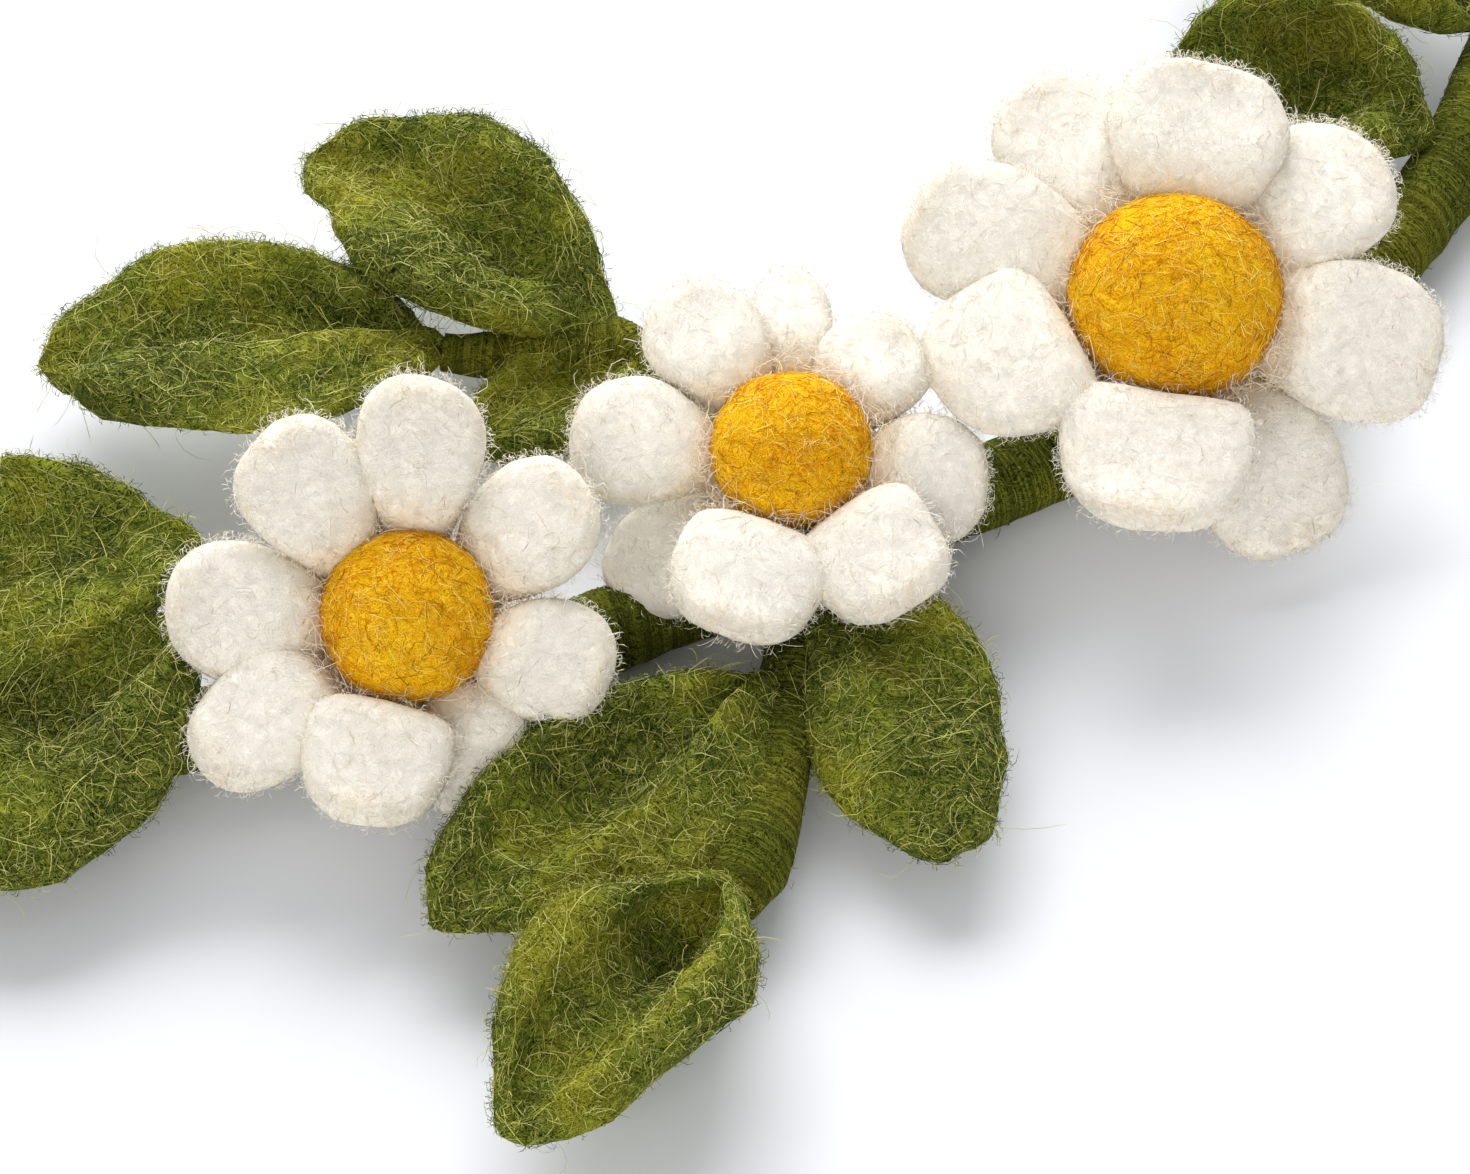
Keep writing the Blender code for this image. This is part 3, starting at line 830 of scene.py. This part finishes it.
# Loose fibres: fine curly wool fibres that the felting left on the surface.
# Some lie across the felt, some stand off it as fuzz and a few long ones stray away from it.
def surface_of(meshes):
    """All the triangles of some meshes: corners, patches, nearness to an edge and wire's way."""
    corners = []
    patches = []
    edges = []
    runs = []
    for mesh in meshes:
        mesh.calc_loop_triangles()
        points = np.zeros(len(mesh.vertices) * 3)
        mesh.vertices.foreach_get("co", points)
        turns = np.zeros(len(mesh.loop_triangles) * 3, np.int32)
        mesh.loop_triangles.foreach_get("vertices", turns)
        values = np.zeros(len(mesh.vertices))
        mesh.attributes["patch"].data.foreach_get("value", values)
        corners.append(points.reshape(-1, 3)[turns.reshape(-1, 3)])
        patches.append(values[turns.reshape(-1, 3)].mean(axis=1))
        values = np.zeros(len(mesh.vertices))
        if "edge" in mesh.attributes:
            mesh.attributes["edge"].data.foreach_get("value", values)
        edges.append(values[turns.reshape(-1, 3)].mean(axis=1))
        vectors = np.zeros(len(mesh.vertices) * 3)
        mesh.attributes["run"].data.foreach_get("vector", vectors)
        runs.append(vectors.reshape(-1, 3)[turns.reshape(-1, 3)[:, 0]])
    return [np.concatenate(values) for values in (corners, patches, edges, runs)]


def unit(vectors):
    """The vectors at length 1."""
    return vectors / np.maximum(np.linalg.norm(vectors, axis=-1, keepdims=True), 1e-12)


def roots_on(surface, count, draw, underside, edged):
    """Places spread over a surface, with normals, patches and runs; fewer underneath.

    edged is how strongly the fibres keep to the cut edges, from 0 to 1.
    """
    corners, patches, edges, runs = surface
    cross = np.cross(corners[:, 1] - corners[:, 0], corners[:, 2] - corners[:, 0])
    normal = unit(cross)
    weight = np.linalg.norm(cross, axis=1) * (1 - edged + edged * edges)
    weight *= underside + (1 - underside) * np.clip((normal[:, 2] + 0.6) / 1.0, 0, 1)
    chosen = draw.choice(len(corners), count, p=weight / weight.sum())
    first, second = draw.random((2, count, 1))
    over = first + second > 1
    first, second = np.where(over, 1 - first, first), np.where(over, 1 - second, second)
    start = corners[chosen, 0]
    place = start + first * (corners[chosen, 1] - start) + second * (corners[chosen, 2] - start)
    return place, normal[chosen], patches[chosen], runs[chosen]


def fibre_lines(place, normal, run, draw, *, length, bend, rise, sink, joints, seated):
    """The joints of each fibre, from end to end.

    seated fibres lie along the surface and dip in at both ends; the others grow out of it.
    """
    count = len(place)
    loose = unit(draw.normal(size=(count, 3)))
    way = unit(np.cross(normal, unit(run + loose * np.where(run.any(axis=1), 0.45, 1.0)[:, None])))
    side = np.cross(normal, way)
    long = length * np.exp(draw.normal(0, 0.35, (count, 1, 1)))
    curve = bend * draw.normal(0, 1, (count, 1, 1)) / long
    curve = np.where(np.abs(curve) < 1, 1.0, curve)
    share = np.linspace(-1, 1, joints)[None, :, None] if seated else None
    if seated:
        along = share * long / 2
        height = sink * -1 + (rise * draw.random((count, 1, 1)) + sink) * (1 - share ** 2)
    else:
        share = np.linspace(0, 1, joints)[None, :, None]
        along = share * long * 0.75
        climb = rise * (0.35 + draw.random((count, 1, 1)))
        height = -sink + climb * (1 - (1 - share) ** 2) - climb * 0.35 * share ** 3
    return (
        place[:, None]
        + way[:, None] * np.sin(curve * along) / curve
        + side[:, None] * (1 - np.cos(curve * along)) / curve
        + normal[:, None] * height
    )


def follow(lines, corners, loft):
    """Moves the joints of seated fibres so that they follow the surface."""
    flat = corners.reshape(-1, 3)
    faces = np.arange(len(flat)).reshape(-1, 3)
    tree = BVHTree.FromPolygons(flat.tolist(), faces.tolist())
    joints = lines.reshape(-1, 3)
    lofts = np.broadcast_to(loft, lines.shape[:2] + (1,)).reshape(-1)
    for number, (joint, height) in enumerate(zip(joints, lofts)):
        near, facing, _, _ = tree.find_nearest(Vector(joint))
        joints[number] = near + facing * height
    return joints.reshape(lines.shape)


def fibre_mesh(name, lines, radius, patch, tint):
    """Closed three-sided spindles along the lines, with their patch and tint as a UV map."""
    count, joints = lines.shape[:2]
    run = unit(np.gradient(lines, axis=1))
    rough = np.array((0.31, 0.52, 0.80))
    side = unit(np.cross(run, rough))
    over = np.cross(run, side)
    inner = lines[:, 1:-1]
    rings = []
    for corner in range(3):
        turn = math.tau * corner / 3
        rim = side[:, 1:-1] * math.cos(turn) + over[:, 1:-1] * math.sin(turn)
        rings.append(inner + rim * radius)
    rings = np.stack(rings, axis=2)
    middles = joints - 2
    each = middles * 3 + 2
    points = np.concatenate(
        (lines[:, :1], rings.reshape(count, middles * 3, 3), lines[:, -1:]), axis=1
    )
    faces = []
    for corner in range(3):
        after = (corner + 1) % 3
        faces.append((0, 1 + after, 1 + corner))
        last = 1 + (middles - 1) * 3
        faces.append((each - 1, last + corner, last + after))
        for ring in range(middles - 1):
            low = 1 + ring * 3
            high = low + 3
            faces.append((low + corner, low + after, high + after))
            faces.append((low + corner, high + after, high + corner))
    faces = np.array(faces)
    whole = (faces[None] + np.arange(count)[:, None, None] * each).reshape(-1, 3)
    mesh = bpy.data.meshes.new(name)
    mesh.vertices.add(count * each)
    mesh.vertices.foreach_set("co", points.reshape(-1))
    mesh.loops.add(len(whole) * 3)
    mesh.loops.foreach_set("vertex_index", whole.reshape(-1))
    mesh.polygons.add(len(whole))
    mesh.polygons.foreach_set("loop_start", np.arange(len(whole)) * 3)
    mesh.update(calc_edges=True)
    mesh.shade_smooth()
    spread = 0.004
    across = np.zeros(each)
    up = np.zeros(each)
    for point in range(1, each - 1):
        across[point] = spread * ((point - 1) % 3 - 1)
        up[point] = spread * (point - 1) / each
    up[-1] = spread
    u = (patch[:, None] * 0.96 + 0.02 + across[None]).reshape(-1)
    v = (tint[:, None] * 0.96 + 0.02 + up[None]).reshape(-1)
    layer = mesh.uv_layers.new(name="OFBake")
    order = whole.reshape(-1)
    layer.uv.foreach_set("vector", np.stack((u[order], v[order]), axis=1).reshape(-1))
    return mesh


def fibre_dye(name, dark, tones, pale):
    """Wool fibres, each of one tone, read from the fibres' own map."""
    dye = Dye(name)
    chart = dye.add("ShaderNodeUVMap", {"uv_map": "OFBake"})
    separate = dye.nodes.new("ShaderNodeSeparateXYZ")
    dye.links.new(chart.socket, separate.inputs[0])
    patch = Number(dye, separate.outputs[0])
    tint = Number(dye, separate.outputs[1])
    # The patch carries the surface's tone, including the painted shade of the petal roots, petal
    # edges and shaded leaves.
    first = dye.blend((patch * 2).least(1.0), tones[0], tones[1])
    tone = dye.blend((patch * 2 - 1).most(0.0), first, tones[2])
    shaded = dye.blend((tint * 3).least(1.0), dark, tone)
    lit = dye.blend(((tint - 0.55) * 2.2).most(0.0).least(1.0), shaded, pale)
    dye.set(
        dye.felt,
        {"Base Color": lit, "Roughness": 0.8, "Specular IOR Level": 0.15},
    )
    return dye.material


# Each kind of loose fibre: how many, how long, how strongly it bends, how far it rises,
# how deep it is rooted, its joints, whether it lies along the felt, its least lightness, how
# strongly it keeps to the cut edges and its radius.
FIBRE_COLUMNS = (
    "count",
    "length",
    "bend",
    "rise",
    "sink",
    "joints",
    "seated",
    "light",
    "edged",
    "radius",
)
FIBRE_TOP = 41 * MM


def add_fibres(name, meshes, rows, material, seed, underside=0.35):
    """The loose fibres of some pieces' meshes, as one piece for each kind of fibre."""
    surface = surface_of(meshes)
    for part, values in enumerate(rows):
        row = dict(zip(FIBRE_COLUMNS, values))
        draw = np.random.default_rng(seed + part)
        place, normal, patch, run = roots_on(surface, row["count"], draw, underside, row["edged"])
        lines = fibre_lines(
            place,
            normal,
            run,
            draw,
            length=row["length"] * MM,
            bend=row["bend"],
            rise=row["rise"] * MM,
            sink=row["sink"] * MM,
            joints=row["joints"],
            seated=row["seated"],
        )
        if row["seated"]:
            share = np.linspace(-1, 1, row["joints"])[None, :, None]
            loft = row["rise"] * MM * draw.random((len(place), 1, 1))
            loft = (loft + row["sink"] * MM) * (1 - share ** 2) - row["sink"] * MM
            lines = follow(lines, surface[0], loft)
        kept = lines[..., 2].max(axis=1) < FIBRE_TOP
        lines = lines[kept]
        patch = patch[kept]
        lines[..., 2] = np.maximum(lines[..., 2], 0.1 * MM)
        tint = row["light"] + (1 - row["light"]) * draw.random(len(lines))
        thick = row["radius"] * MM * (0.8 + 0.5 * draw.random((len(lines), 1, 1)))
        mesh = fibre_mesh(f"{name}_{part + 1}", lines, thick, patch, tint)
        mesh.materials.append(material)
        piece = bpy.data.objects.new(mesh.name, mesh)
        bpy.context.scene.collection.objects.link(piece)
        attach(piece, "root")


leaf_fibre = fibre_dye("leaf fibres", (0.022, 0.038, 0.003), LEAF_GREENS, (0.74, 0.72, 0.22))
white_fibre = fibre_dye("white fibres", (0.72, 0.58, 0.40), WHITES, (0.98, 0.96, 0.92))
yellow_fibre = fibre_dye("yellow fibres", (0.38, 0.11, 0.001), YELLOWS, (1.0, 0.84, 0.20))
wool_fibre = fibre_dye("wool fibres", WOOL_GREENS[0], WOOL_GREENS, (0.40, 0.42, 0.10))
SHOWN_LEAVES = [f"felt_leaf_{kind}_1" for kind in LEAVES if kind.startswith(("inner", "outer"))]
SHOWN_LEAVES += ["felt_leaf_fork_in_1", "felt_leaf_fork_on_1"]
SHOWN_LEAVES += ["felt_leaf_end_in_3", "felt_leaf_end_out_3"]
add_fibres(
    "leaf_fibres_front",
    [leaf.data for leaf in leaves if leaf.name in SHOWN_LEAVES],
    (
        (13000, 3.4, 2.2, 0.35, 0.10, 4, True, 0.0, 0.0, 0.040),
        (2600, 6.5, 3.6, 0.45, 0.10, 6, True, 0.5, 0.0, 0.036),
        (15500, 1.5, 1.2, 1.1, 0.15, 3, False, 0.15, 0.75, 0.038),
        (800, 6.0, 4.5, 1.8, 0.15, 5, False, 0.8, 0.5, 0.028),
    ),
    leaf_fibre,
    11,
    underside=0.1,
)
add_fibres(
    "leaf_fibres_rest",
    [leaf.data for leaf in leaves if leaf.name not in SHOWN_LEAVES],
    (
        (3000, 4.4, 2.4, 0.35, 0.10, 4, True, 0.0, 0.0, 0.052),
        (4500, 1.8, 1.2, 1.2, 0.15, 3, False, 0.15, 0.7, 0.045),
        (130, 4.6, 5.0, 2.0, 0.15, 5, False, 0.8, 0.5, 0.034),
    ),
    leaf_fibre,
    21,
    underside=0.1,
)
add_fibres(
    "petal_fibres_front",
    [petals.data for petals in corollas if petals.name.endswith("1")],
    (
        (5200, 2.4, 2.6, 0.22, 0.08, 4, True, 0.0, 0.0, 0.028),
        (24000, 1.5, 1.6, 1.1, 0.15, 3, False, 0.2, 0.8, 0.030),
        (400, 5.0, 4.5, 1.6, 0.15, 5, False, 0.6, 0.4, 0.028),
    ),
    white_fibre,
    31,
    underside=0.6,
)
add_fibres(
    "petal_fibres_rest",
    [petals.data for petals in corollas if not petals.name.endswith("1")],
    (
        (5500, 1.1, 1.2, 1.1, 0.15, 3, False, 0.4, 0.8, 0.036),
        (100, 4.5, 5.0, 1.8, 0.15, 5, False, 0.6, 0.5, 0.030),
    ),
    white_fibre,
    41,
    underside=0.6,
)
add_fibres(
    "centre_fibres_front",
    [centre.data for centre in centres if centre.name.endswith("1")],
    (
        (5000, 3.0, 2.4, 0.18, 0.08, 4, True, 0.0, 0.0, 0.036),
        (900, 0.9, 1.2, 0.5, 0.15, 3, False, 0.3, 0.0, 0.030),
        (40, 3.6, 4.0, 1.2, 0.15, 5, False, 0.6, 0.0, 0.028),
    ),
    yellow_fibre,
    51,
)
add_fibres(
    "centre_fibres_rest",
    [centre.data for centre in centres if not centre.name.endswith("1")],
    (
        (1500, 3.4, 2.0, 0.14, 0.08, 4, True, 0.0, 0.0, 0.050),
        (300, 0.9, 1.2, 0.4, 0.15, 3, False, 0.3, 0.0, 0.036),
    ),
    yellow_fibre,
    61,
)
add_fibres(
    "vine_fibres",
    [vine.data],
    (
        (2600, 4.0, 0.6, 0.22, 0.10, 4, True, 0.0, 0.0, 0.044),
        (1500, 1.3, 1.0, 0.9, 0.15, 3, False, 0.1, 0.0, 0.040),
        (160, 4.6, 5.0, 2.0, 0.15, 5, False, 0.8, 0.0, 0.030),
    ),
    wool_fibre,
    71,
)

# Curls round each centre's foot: the longest fibres of the petals' roots, pulled up by the needle
# that fixed the centre. They lie over the join and take the petals' low peach tone: painted warm
# shade by the centre.
FOOT_INSIDE = -0.9 * MM
FOOT_OUTSIDE = 3.6 * MM
FOOT_UP = 1.6 * MM
FOOT_DOWN = -0.6 * MM
FOOT_PEACH_SHADE = 0.15


def peach_shade_of_curls(place):
    """The curls take the peach tone of the petals' roots: painted warm shade by the centre."""
    return FOOT_PEACH_SHADE


def foot_band(kind, group):
    """The band round a centre's foot from which the curls grow."""
    row = dict(zip(DAISY_COLUMNS, DAISIES[kind]))
    radius = row["ball"] / 2 * MM
    middle = CLEARANCE + radius * BALL_SINK
    band = bmesh.new()
    bmesh.ops.create_cone(
        band,
        cap_ends=False,
        segments=48,
        radius1=radius + FOOT_OUTSIDE,
        radius2=radius + FOOT_INSIDE,
        depth=FOOT_UP - FOOT_DOWN,
        matrix=Matrix.Translation((0.0, 0.0, middle + (FOOT_UP + FOOT_DOWN) / 2)),
    )
    band.transform(turned(group) @ daisy_place(kind))
    return felt_mesh("band", band, peach_shade_of_curls)


for group, count in enumerate((1800, 350, 350)):
    add_fibres(
        f"foot_curls_{group + 1}",
        [foot_band(kind, group) for kind in DAISIES],
        ((count, 5.2, 4.0, 0.9, 0.0, 5, False, 0.2, 0.0, 0.030),),
        white_fibre,
        91 + group,
        underside=1.0,
    )

# Floor, light and camera: a pale table under soft studio light that falls from behind,
# seen from in front and above, over the first group of daisies.
FLOOR_SIDE = 3.0
FLOOR_WHITE = (0.82, 0.84, 0.89)
VIEW_TARGET = RING_CENTRE + Vector((54 * MM, -126 * MM, 4 * MM))
VIEW_ELEVATION = math.radians(50)
VIEW_DISTANCE = 0.75
FRAME_WIDTH = 1470 * 0.093 * MM
SENSOR = 36.0

bpy.ops.mesh.primitive_plane_add(size=FLOOR_SIDE)
floor = bpy.context.object
floor.name = "floor"
paper = Dye("pale table")
paper.set(paper.felt, {"Base Color": (*FLOOR_WHITE, 1.0), "Roughness": 0.9})
floor.data.materials.append(paper.material)


def add_light(name, place, aim, size, power, colour):
    """A square soft box that shines from a place towards a point."""
    data = bpy.data.lights.new(name, "AREA")
    data.size = size
    data.energy = power
    data.color = colour
    lamp = bpy.data.objects.new(name, data)
    lamp.location = place
    lamp.rotation_euler = (Vector(aim) - Vector(place)).to_track_quat("-Z", "Y").to_euler()
    bpy.context.scene.collection.objects.link(lamp)


add_light("key light", (-0.14, 0.98, 0.66), (0.05, -0.10, 0.0), 1.4, 37.0, (1.0, 1.0, 1.0))
add_light("front light", (-0.2, -1.5, 0.75), (0.05, -0.10, 0.0), 1.2, 15.0, (1.0, 0.97, 0.92))

world = bpy.data.worlds.new("studio")
world.use_nodes = True
world.node_tree.nodes["Background"].inputs["Color"].default_value = (0.99, 0.995, 1.0, 1.0)
world.node_tree.nodes["Background"].inputs["Strength"].default_value = 0.42
bpy.context.scene.world = world

lens = bpy.data.cameras.new("camera")
lens.sensor_width = SENSOR
lens.lens = SENSOR * VIEW_DISTANCE / FRAME_WIDTH
camera = bpy.data.objects.new("camera", lens)
back = Vector((0.0, -math.cos(VIEW_ELEVATION), math.sin(VIEW_ELEVATION)))
camera.location = VIEW_TARGET + back * VIEW_DISTANCE
camera.rotation_euler = (math.pi / 2 - VIEW_ELEVATION, 0.0, 0.0)
bpy.context.scene.collection.objects.link(camera)
bpy.context.scene.camera = camera
bpy.context.scene.view_settings.view_transform = "Standard"
